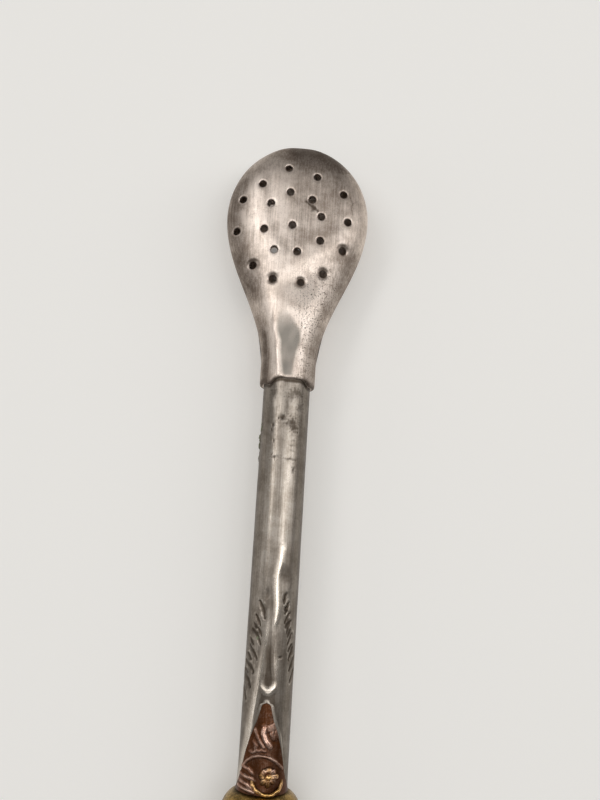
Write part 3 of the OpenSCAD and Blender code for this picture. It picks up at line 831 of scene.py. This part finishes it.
def drawn_tube():
    """The tube's chased outside and its plain bore, joined at both ends"""
    bm, wear_and_painted_light = start_piece()

    def put(across, y):
        angle = 360 * across - 180
        turn, radians = abs(angle), math.radians(angle)
        rise, cut, stain, crust, rub = chased(angle, y)
        if TUBE_START + 8 < y < LIP_Y - 0.5:
            rise += TUBE_WAVE * uneven(math.sin(radians) * 2, y, math.cos(radians) * 2, 5.0)
        # Two long strips on top are paler, by rubbing and as painted highlight; the flanks keep their film,
        # which is also painted shade; and the solder seam runs underneath
        rubbed_strips_and_painted_highlight = 0.2 * hump(angle - 17, 22) * hump(y - 40, 24) + 0.16 * hump(angle + 24, 24) * hump(y - 38, 20)
        film_with_painted_light = FILM - rubbed_strips_and_painted_highlight + 0.13 * ease((turn - (40 if angle > 0 else 32)) / 44) * ease((125 - turn) / 40)
        film_with_painted_light -= 0.22 * ease((turn - 75) / 40)
        seam = hump(turn - 180, 3)
        # A painted shadow, with grime, darkens the tube in the gap under the strainer's lip
        under = hump(y - LIP_Y - lip_reach(angle) + 0.3, 0.8) if turn < 90 else hump(y - LIP_Y, 0.6)
        film = min(1.0, max(film_with_painted_light * (1 - 0.8 * rub), cut, 0.5 * seam, 0.95 * under))
        film += (1 - film) * stain
        pitted = 0.02 + 0.08 * hump(y - 52, 8)
        return round_tube(TUBE_R + rise - SEAM_DEPTH * seam, angle, y), (film, pitted, crust)

    rows = spaced((TUBE_START, -16, 3.2), (-16, 6.5, 1.0), (6.5, 29.5, 0.15), (29.5, 41, 0.5), (41, 56, 0.17),
                  (56, 57.8, 0.12), (57.8, TUBE_END, 0.8))
    sheet(bm, wear_and_painted_light, TUBE_COLUMNS, rows, put)
    close_seams(bm)
    k = (TUBE_R - TUBE_T) / TUBE_R
    ends = []
    for y in (TUBE_START, TUBE_END):
        edges = [e for e in open_edges(bm) if all(abs(v.co.y - y) < 0.01 for v in e.verts)]
        ring, edges = grow_ring(bm, edges)
        bmesh.ops.scale(bm, vec=(k, 1, k), verts=list(ring), space=Matrix.Translation((0, 0, -AXIS_H)))
        for v in ring:
            v[wear_and_painted_light] = (*BORE_WEAR, 1.0)
        ends += edges
    bmesh.ops.bridge_loops(bm, edges=ends)
    finish_piece(bm, "chased_tube", drawn_silver, "stem", "aged_silver", "stem_tube")


drawn_tube()


# The raised silver border with its drop, and the gilt plaque inside it

# Lowest radius of the border's face inside its outer edge, and how far its face lies over the tube
BORDER_LOW_R = 3.785
BORDER_RISE = 0.08
# Rises of the bank round the drop's foot and of the rim round the plaque, and depths of the drop and its slit
BANK_RISE, RIM_RISE, DROP_DEPTH, SLIT_DEPTH = 0.13, 0.05, 0.06, 0.07
# How far its outer edge dips, its underside is let into the tube and its inner edge keeps from the plaque
EDGE_DIP, LET_IN, PLAQUE_ROOM = 0.08, 0.12, 0.02


def border_face(x, h):
    """Radius of the border's surface, and its tarnish with painted shade and highlight"""
    swell, out, rub = swelling(x, h)
    tip = h - PLAQUE_L
    to_plaque = abs(x) - plaque_half(h) if tip < 0 else math.hypot(x, tip)
    rim = hump(to_plaque - 0.25, 0.4)
    # The drop narrows from its round foot to its point
    foot = PLAQUE_L + DROP_RISE + DROP_R
    reach = DROP_L - DROP_R
    end = foot + reach + 0.6
    width = DROP_R * (1 - max(0.0, h - foot) / reach)
    to_drop = math.hypot(x, min(0.0, h - foot)) - max(0.0, width) if h < end else 9.0
    bank = hump(to_drop - 0.35, 0.85) * ease((foot + 0.9 - h) / 1.8)
    point = ease((end - h) / 1.6)
    hollow = point * ease((0.7 - to_drop) / 1.3)
    slit = hump(x, 0.5) * ease((foot + 3.4 - h) / 2.6) * ease((h - foot + 0.7) / 0.4)
    raised = BORDER_RISE * ease(out / 0.3) + max(BANK_RISE * bank, RIM_RISE * rim)
    radius = TUBE_R - soft_min(-swell, -raised, 0.1) - DROP_DEPTH * hollow - SLIT_DEPTH * slit
    radius = max(BORDER_LOW_R, min(BORDER_R, radius)) - EDGE_DIP * (1 - ease(out / 0.1))
    # Hands rub the bank and the rim, and the paler bank is also painted highlight; film stays in the slit;
    # film and painted shade lie in and round the drop and on the flanks, darker on the right
    rub = max(rub, bank, 0.5 * rim)
    film = (FILM + 0.3 * ease(out / 1.2)) * (1 - rub)
    film_and_painted_shade_in_drop = 0.74 * point * ease((0.9 - to_drop) / 0.8) * (1 - bank)
    film_with_painted_light = ((0.85 if x > 0 else 0.7) - 0.5 * rub) * ease((abs(x) - 1.4) / 2)
    return radius, max(film, film_and_painted_shade_in_drop, 0.95 * slit, film_with_painted_light)


def silver_border():
    """A left and a right strip that meet over the plaque, each with a face and an underside"""
    bm, wear_and_painted_light = start_piece()

    def put(side, under):
        def place(across, h):
            inner = plaque_half(h) + PLAQUE_ROOM if h < PLAQUE_L else 0.0
            x = side * (inner + (border_half(h) - inner) * across)
            radius, tarnish_and_painted_light = (TUBE_R - LET_IN, 0.8) if under else border_face(x, h)
            return round_tube(radius, math.degrees(turn_at(x)), COLLAR_Y + h), (tarnish_and_painted_light, 0.02, 0.0)
        return place

    rows = spaced((0.02, PLAQUE_L, 0.16), (PLAQUE_L, BORDER_L - 0.05, 0.1))
    for under in (False, True):
        for side in (-1, 1):
            sheet(bm, wear_and_painted_light, 26, rows, put(side, under))
    close_seams(bm)
    bmesh.ops.bridge_loops(bm, edges=open_edges(bm))
    finish_piece(bm, "silver_border", drawn_silver, "stem", "aged_silver", "arch_border")


silver_border()


# Ridges of the plaque's relief: (angle, place) points, half width and rise
RELIEF = [(line_on_tube(points), width, rise) for points, width, rise in (
    ([(-1, 5.0), (-2, 4.2), (3, 3.35), (13, 2.5)], 0.5, 0.42),
    ([(-2, 5.3), (10, 5.2), (22, 5.65), (28, 5.8)], 0.5, 0.24),
    ([(30, 5.6), (33, 4.7), (30, 3.9)], 0.5, 0.24),
    ([(19, 5.0), (15, 4.2), (20, 3.6)], 0.42, 0.24),
    ([(26, 5.1), (25, 4.2), (24, 3.6)], 0.4, 0.2),
    ([(11, 4.9), (22, 5.3)], 0.75, 0.26),
    ([(-21, 4.7), (-15, 3.8), (-8, 3.0), (-1, 2.35)], 0.3, 0.24),
    ([(-24, 3.1), (-17, 2.5), (-18, 2.0)], 0.28, 0.2),
    ([(-31, 1.7), (-24, 1.5), (-15, 1.85)], 0.28, 0.2),
    ([(-11, 1.75), (-3, 1.95), (3, 1.8)], 0.28, 0.18),
    ([(-50, -0.5), (-31, -0.75), (-20, -1.4)], 0.36, 0.3),
    ([(-54, -1.6), (-31, -1.95), (-15, -2.2)], 0.36, 0.3),
    ([(-57, -2.6), (-34, -2.9), (-23, -3.4)], 0.36, 0.3),
    ([(-62, -3.4), (-40, -3.6), (-18, -3.9)], 0.34, 0.3),
)]
# The highest rise, the share of each that wear has left, and the cast ground's unevenness
TOP_RISE = 0.42
RISE_LEFT = 0.55
CAST_WAVE = 0.025

# The thin arch over the rosette, and its rise
ARCH = line_on_tube([(-46, -0.5), (-36, 0.3), (-23, 0.9), (-11, 1.16), (2, 1.16), (14, 0.95), (27, 0.43),
                     (46, -0.6)])
ARCH_RISE = 0.17

# Radius of the plaque's ground, depth of the dish round the rosette, and radii at which wire and petals lie
PLAQUE_R = 3.93
DISH_DEPTH = 0.08
WIRE_SEAT_R = 4.05
ROSETTE_SEAT_R = 4.0


def plaque_face(x, h):
    """Radius of the plaque's surface, and its tarnish, with painted highlight on the relief"""
    a, y = turn_at(x) * TUBE_R, COLLAR_Y + h
    height, rub = 0.0, 0.0
    for line, width, rise in RELIEF:
        d, share = near_line(a, y, line)
        if d < width:
            ridge = ease((width - d) / (0.75 * width)) * (0.6 + 0.4 * math.sin(math.pi * (0.1 + 0.8 * share)))
            height = max(height, RISE_LEFT * rise * ridge)
            rub = max(rub, ridge * min(1.0, rise / TOP_RISE) ** 1.7)
    arch = ease((0.28 - near_line(a, y, ARCH)[0]) / 0.2)
    to_rosette = math.hypot(a - math.radians(ROSETTE_TURN) * TUBE_R, h - ROSETTE_RISE)
    dish = ease((WIRE_R - to_rosette) / 1.1)
    height = max(height * (1 - dish) - DISH_DEPTH * dish, ARCH_RISE * arch)
    # The relief and the arch are rubbed paler, which also paints their highlights
    tarnish_and_painted_light = 0.9 * (1 - max(rub * (1 - dish), 0.42 * arch))
    return PLAQUE_R + height + CAST_WAVE * uneven(a, y, 4.2, 0.8), tarnish_and_painted_light


def gilt_plaque():
    """The cast sheet, with its relief on top and a plain underside"""
    bm, wear_and_painted_light = start_piece()

    def put(under):
        def place(across, h):
            x = plaque_half(h) * (2 * across - 1)
            radius, tarnish_and_painted_light = (SOLDER_R, 1.0) if under else plaque_face(x, h)
            return round_tube(radius, math.degrees(turn_at(x)), COLLAR_Y + h), (tarnish_and_painted_light, 0.1, 0.0)
        return place

    for under in (False, True):
        sheet(bm, wear_and_painted_light, 96, spaced((0.02, PLAQUE_L, 0.085)), put(under))
    close_seams(bm)
    bmesh.ops.bridge_loops(bm, edges=open_edges(bm))
    finish_piece(bm, "gilt_plaque_relief", cast_gilt, "stem", "worn_gilt", "gilt_plaque")


gilt_plaque()


# The medallion on the plaque: a wire, petals and a granule, each modelled flat round the rosette's middle

def lay_on_plaque(bm, radius):
    """Bends a flat piece, modelled with the rosette's middle at the origin, on to the plaque"""
    for v in bm.verts:
        angle = ROSETTE_TURN + math.degrees(v.co.x / radius)
        y = max(COLLAR_Y + 0.03, COLLAR_Y + ROSETTE_RISE + v.co.y)
        v.co = round_tube(radius + v.co.z, angle, y)


def medallion_wire():
    """A ring of wire, thick in its lower part, with gold there that is partly a painted highlight, and
    flattened, sunk and darker in its upper part
    """
    bm, wear_and_painted_light = start_piece()
    thick, lift = 0.22, 0.1
    upright = Matrix.Translation((WIRE_R, 0, lift)) @ Matrix.Rotation(math.pi / 2, 4, "X")
    section = bmesh.ops.create_circle(bm, segments=14, radius=thick, matrix=upright)["verts"]
    bmesh.ops.spin(bm, geom=section + edges_of(section), cent=(0, 0, 0), axis=(0, 0, 1), angle=2 * math.pi,
                   steps=96, use_merge=True)
    close_seams(bm)
    for v in bm.verts:
        # Gold on top of the lower part is partly a painted highlight
        low = ease((-0.05 - v.co.y / WIRE_R) / 0.6) * (0.75 + 0.4 * uneven(v.co.x, v.co.y, 3.3, 0.8))
        v[wear_and_painted_light] = (clamp(0.95 - 2.6 * low * v.co.z), 0.1, 0.85 * low * ease((v.co.z + 0.05) / 0.25), 1.0)
        out = math.hypot(v.co.x, v.co.y)
        wide = (WIRE_R + (out - WIRE_R) * (1 + 0.45 * low)) / out
        v.co = Vector((v.co.x * wide, v.co.y * wide, lift + (v.co.z - lift) * (0.4 + 0.6 * min(1.0, low))))
        v.co.z += 0.1 * low - 0.37 * (1 - low) + 0.04 * low * uneven(v.co.x, v.co.y, 0.7, 0.9)
    lay_on_plaque(bm, WIRE_SEAT_R)
    finish_piece(bm, "medallion_ring", cast_gilt, "stem", "worn_gilt", "medallion_wire")


def rosette():
    """A wreath of uneven petals, each with a crease, rubbed bright on top with gold that is partly painted
    glint, dark low down, and with painted shade on the petals of the lower side
    """
    bm, wear_and_painted_light = start_piece()
    petal_l, petal_w, petal_h, petal_out = 1.3, 1.1, 0.62, 0.84
    for i in range(PETALS):
        petal = bmesh.ops.create_uvsphere(bm, u_segments=20, v_segments=12, radius=0.5)["verts"]
        grown = 1 + 0.22 * math.sin(5.3 * i + 1)
        bmesh.ops.scale(bm, vec=(petal_l * grown, petal_w / grown, petal_h * grown), verts=petal)
        for v in petal:
            v.co.z -= 0.06 * hump(v.co.y, 0.18) * max(0.0, v.co.z / 0.3)
        turn = Matrix.Rotation(2 * math.pi * (i + 0.2 * math.sin(3.1 * i)) / PETALS, 4, "Z")
        out = Matrix.Translation((petal_out, 0, 0.05 * math.cos(2.3 * i)))
        bmesh.ops.transform(bm, verts=petal, matrix=turn @ out)
    for v in bm.verts:
        # Tops are rubbed bright, the lower petals get painted shade, and the gold is partly painted glint
        rubbed_top_and_painted_shade = ease((v.co.z - 0.05) / 0.3) * (1 - 0.75 * ease((-0.1 - v.co.y) / 0.7))
        gold_and_painted_glint = 0.6 * rubbed_top_and_painted_shade * ease(0.45 + 0.9 * uneven(v.co.x, v.co.y, 2.0, 0.8))
        v[wear_and_painted_light] = (1 - 0.8 * rubbed_top_and_painted_shade, 0.1, gold_and_painted_glint, 1.0)
        v.co.z += 0.09 * uneven(v.co.x, v.co.y, 0.4, 0.6)
    lay_on_plaque(bm, ROSETTE_SEAT_R)
    finish_piece(bm, "rosette_petals", cast_gilt, "stem", "worn_gilt", "rosette")


def rosette_pin():
    """The granule that holds the petals down, gilt on top with gold that is partly painted glint"""
    bm, wear_and_painted_light = start_piece()
    bmesh.ops.create_uvsphere(bm, u_segments=24, v_segments=14, radius=0.45)
    for v in bm.verts:
        v.co.z = 0.4 + v.co.z * 0.8 + 0.02 * uneven(v.co.x, v.co.y, v.co.z, 0.3)
        v[wear_and_painted_light] = (clamp(0.9 - 1.3 * v.co.z), 0.1, 0.7 * ease((v.co.z - 0.35) / 0.3), 1.0)
    lay_on_plaque(bm, ROSETTE_SEAT_R)
    finish_piece(bm, "rosette_grain", cast_gilt, "stem", "worn_gilt", "rosette_pin")


medallion_wire()
rosette()
rosette_pin()


# The hollow collar

def weather(bm, wear_and_painted_light, film, ripple):
    """Hammered unevenness of a turned piece, and its tarnish"""
    for v in bm.verts:
        flat = Vector((v.co.x, 0, v.co.z - AXIS_H))
        k = 1 - ripple * (1 + uneven(v.co.x, v.co.y, v.co.z, 3.0)) / flat.length
        v.co = Vector((flat.x * k, v.co.y, AXIS_H + flat.z * k))
        v[wear_and_painted_light] = (film(flat.length, v.co.y), 0.25, 0.0, 1.0)


def collar_cup(name, edge, way, node_name):
    """A cup from the band's edge, rounded off towards the tube. Way is 1 for the strainer's side and -1 for
    the mouth's."""
    bm, wear_and_painted_light = start_piece()
    centre = CUP_R - CUP_ROUND
    steps = 20
    section = []
    for radius, turns in ((CUP_ROUND, range(steps + 1)), (CUP_ROUND - CUP_T, range(steps, -1, -1))):
        stop = math.degrees(math.acos((SOLDER_R - centre) / radius))
        for i in turns:
            angle = math.radians(stop * i / steps)
            section.append((centre + radius * math.cos(angle), edge + way * radius * math.sin(angle)))
    turned_section(bm, section, 128)
    weather(bm, wear_and_painted_light, lambda r, y: 0.35 + 0.5 * ease((4.6 - r) / 0.8), 0.012)
    finish_piece(bm, name, hammered_gilt, "stem", "collar_gilt", node_name)


def collar_bead():
    """The band between the cups, with a rounded outside"""
    bm, wear_and_painted_light = start_piece()
    rise = AXIS_H - CUP_R
    bead_r = ((BAND_L / 2) ** 2 + rise ** 2) / (2 * rise)
    steps = 16
    section = [(CUP_R - CUP_T, BAND_Y - BAND_L / 2), (CUP_R - CUP_T, BAND_Y + BAND_L / 2)]
    for i in range(steps + 1):
        y = BAND_L / 2 - BAND_L * i / steps
        section.append((AXIS_H - bead_r + math.sqrt(bead_r ** 2 - y * y), BAND_Y + y))
    turned_section(bm, section, 128)
    weather(bm, wear_and_painted_light, lambda r, y: 0.2 + 0.5 * ease((abs(y - BAND_Y) - 0.8) / 0.4), 0.006)
    finish_piece(bm, "collar_bead", hammered_gilt, "stem", "collar_gilt", "collar_band")


collar_cup("collar_cup_lower", BAND_Y + BAND_L / 2, 1, "collar_lower_cup")
collar_cup("collar_cup_upper", BAND_Y - BAND_L / 2, -1, "collar_upper_cup")
collar_bead()


# The mouthpiece and its ferrule

def mouth_ferrule():
    """A ring with two round beads"""
    bm, wear_and_painted_light = start_piece()
    bead = FERRULE_L / 5
    start = MOUTH_Y + 0.02
    groove = SOLDER_R + FERRULE_T
    section = [(SOLDER_R, start), (SOLDER_R, start + FERRULE_L)]
    for middle in (start + FERRULE_L - bead, start + bead):
        for i in range(13):
            angle = math.radians(90 - 15 * i)
            section.append((groove + bead * math.cos(angle), middle + bead * math.sin(angle)))
    turned_section(bm, section, 112)
    weather(bm, wear_and_painted_light, lambda r, y: 0.15 + 0.75 * ease((groove + 0.3 - r) / 0.3), 0.004)
    finish_piece(bm, "mouth_ring", hammered_gilt, "stem", "collar_gilt", "mouth_ferrule")


def mouthpiece():
    """A tube that is drawn from round to a flat tip with a rounded lip, outside and inside"""
    bm, wear_and_painted_light = start_piece()
    start_r = SOLDER_R + MOUTH_T
    lip_start = MOUTH_L - MOUTH_LIP

    def put(wall):
        def place(across, v):
            e = ease((v - MOUTH_GRIP) / (MOUTH_L - MOUTH_GRIP - MOUTH_TIP))
            past = max(0.0, v - lip_start)
            thick = MOUTH_LIP - math.sqrt(max(0.0, MOUTH_LIP ** 2 - past ** 2))
            if wall:
                thick = MOUTH_T + (0.0 if v <= MOUTH_GRIP else LEDGE_H * (1 - e))
            half_w = start_r + (MOUTH_HALF_W - start_r) * e - thick
            half_h = start_r + (MOUTH_HALF_H - start_r) * e - thick
            power = 2 / (2 + (MOUTH_FULLNESS - 2) * e)
            turn = 2 * math.pi * across
            c, s = math.cos(turn), math.sin(turn)
            point = Vector((math.copysign(half_w * abs(c) ** power, c), MOUTH_Y - v,
                            AXIS_H + math.copysign(half_h * abs(s) ** power, s)))
            if wall:
                return point, (0.9, 0.2, 0.0)
            inwards = Vector((point.x, 0, point.z - AXIS_H)).normalized()
            point -= inwards * 0.012 * (1 + uneven(*point, 4.0))
            return point, (0.3 - 0.2 * ease((v - 22) / 8) + 0.5 * hump(v, 1.0), 0.2, 0.0)
        return place

    outer_rows = spaced((0, lip_start, 0.55)) + rounded_off(lip_start, MOUTH_LIP, 6)
    inner_rows = spaced((0, MOUTH_GRIP, 2.0)) + spaced((MOUTH_GRIP + 0.01, MOUTH_L, 1.0))
    sheet(bm, wear_and_painted_light, 120, outer_rows, put(False))
    sheet(bm, wear_and_painted_light, 120, inner_rows, put(True))
    close_seams(bm)
    for y in (MOUTH_Y, MOUTH_Y - MOUTH_L):
        ends = [e for e in open_edges(bm) if all(abs(v.co.y - y) < 0.05 for v in e.verts)]
        bmesh.ops.bridge_loops(bm, edges=ends)
    finish_piece(bm, "mouth_tip", hammered_gilt, "stem", "collar_gilt", "mouthpiece")


mouth_ferrule()
mouthpiece()


# The stage, in metres: a plain pale floor, soft lamps over the straw and beside it, and a soft grey sky

# How much paler than lit paper the floor looks, where 1 is white
FLOOR_GLOW = 0.2

# Distance of the lamps from the straw's axis
LAMP_REACH = 0.8
# Each lamp's name, angle from straight above, width, start and end along the straw, strength and its turn in
# its own plane
LAMPS = [
    ("overhead_panel", 0, 0.7, -0.02, 0.33, 1.43, 0),
    ("left_strip", -34, 0.22, 0.02, 0.5, 3.7, -38),
    ("right_strip", 50, 0.7, 0.03, 0.36, 1.75, 0),
    ("crest_strip", 24, 0.3, -0.07, 0.06, 3.0, 0),
    ("low_left_strip", -72, 0.4, -0.3, 0.08, 0.9, 0),
    ("low_box", 4, 0.4, -0.36, -0.115, 1.2, 0),
]

# A close phone camera: its place, and its tilt from level and roll in degrees
CAMERA_PLACE = (0.002235, 0.032208, 0.133713)
CAMERA_TILT = 80
CAMERA_ROLL = 3.43


def floor():
    """Matt paper: an even pale grey with no shine"""
    bm = bmesh.new()
    bmesh.ops.create_grid(bm, x_segments=1, y_segments=1, size=3.0)
    mesh = bpy.data.meshes.new("floor")
    bm.to_mesh(mesh)
    bm.free()
    material = bpy.data.materials.new("pale_matt_paper")
    material.use_nodes = True
    tree = material.node_tree
    tree.nodes.clear()
    ray = node(tree, "ShaderNodeLightPath", {})
    seen = node(tree, "ShaderNodeMath", {"operation": "ADD"}, _0=ray.outputs["Is Camera Ray"],
                _1=ray.outputs["Is Glossy Ray"])
    seen = node(tree, "ShaderNodeMath", {"operation": "ADD", "use_clamp": True}, _0=seen.outputs["Value"],
                _1=ray.outputs["Is Transmission Ray"])
    glow = node(tree, "ShaderNodeMath", {"operation": "MULTIPLY", 1: FLOOR_GLOW}, _0=seen.outputs["Value"])
    pale = linear("#f0eeea")
    shader = node(tree, "ShaderNodeBsdfPrincipled",
                  {"Base Color": pale, "Roughness": 0.9, "Emission Color": pale},
                  Emission_Strength=glow.outputs["Value"])
    node(tree, "ShaderNodeOutputMaterial", {}, Surface=shader.outputs["BSDF"])
    mesh.materials.append(material)
    plane = bpy.data.objects.new("floor", mesh)
    bpy.context.scene.collection.objects.link(plane)


def soft_lamp(name, angle, width, start, end, strength, skew):
    """A soft panel along the straw, facing its axis"""
    lamp = bpy.data.lights.new(name, "AREA")
    lamp.shape = "RECTANGLE"
    lamp.size, lamp.size_y = width, end - start
    lamp.energy = strength * math.pi * width * (end - start)
    obj = bpy.data.objects.new(name, lamp)
    turn = math.radians(angle)
    place = Vector((LAMP_REACH * math.sin(turn), (start + end) / 2,
                    AXIS_H * MM + LAMP_REACH * math.cos(turn)))
    obj.matrix_world = (Matrix.Translation(place) @ Matrix.Rotation(turn, 4, "Y")
                        @ Matrix.Rotation(math.radians(skew), 4, "Z"))
    obj.visible_camera = False
    bpy.context.scene.collection.objects.link(obj)


def camera():
    """A camera over the straw, tilted and rolled"""
    tilt, roll = math.radians(CAMERA_TILT), math.radians(CAMERA_ROLL)
    forward = Vector((0, math.cos(tilt), -math.sin(tilt)))
    level = Vector((1, 0, 0))
    upright = level.cross(forward)
    right = math.cos(roll) * level + math.sin(roll) * upright
    up = math.cos(roll) * upright - math.sin(roll) * level
    data = bpy.data.cameras.new("camera")
    data.lens, data.sensor_width = 36, 36
    data.clip_start = 0.005
    obj = bpy.data.objects.new("camera", data)
    turned = Matrix((right, up, -forward)).transposed().to_4x4()
    obj.matrix_world = Matrix.Translation(CAMERA_PLACE) @ turned
    bpy.context.scene.collection.objects.link(obj)
    bpy.context.scene.camera = obj


floor()
for lamp in LAMPS:
    soft_lamp(*lamp)
camera()
world = bpy.data.worlds.new("soft_grey_sky")
world.use_nodes = True
world.node_tree.nodes["Background"].inputs["Color"].default_value = linear("#a9a8a6")
world.node_tree.nodes["Background"].inputs["Strength"].default_value = 0.5
bpy.context.scene.world = world
bpy.context.scene.view_settings.view_transform = "Standard"
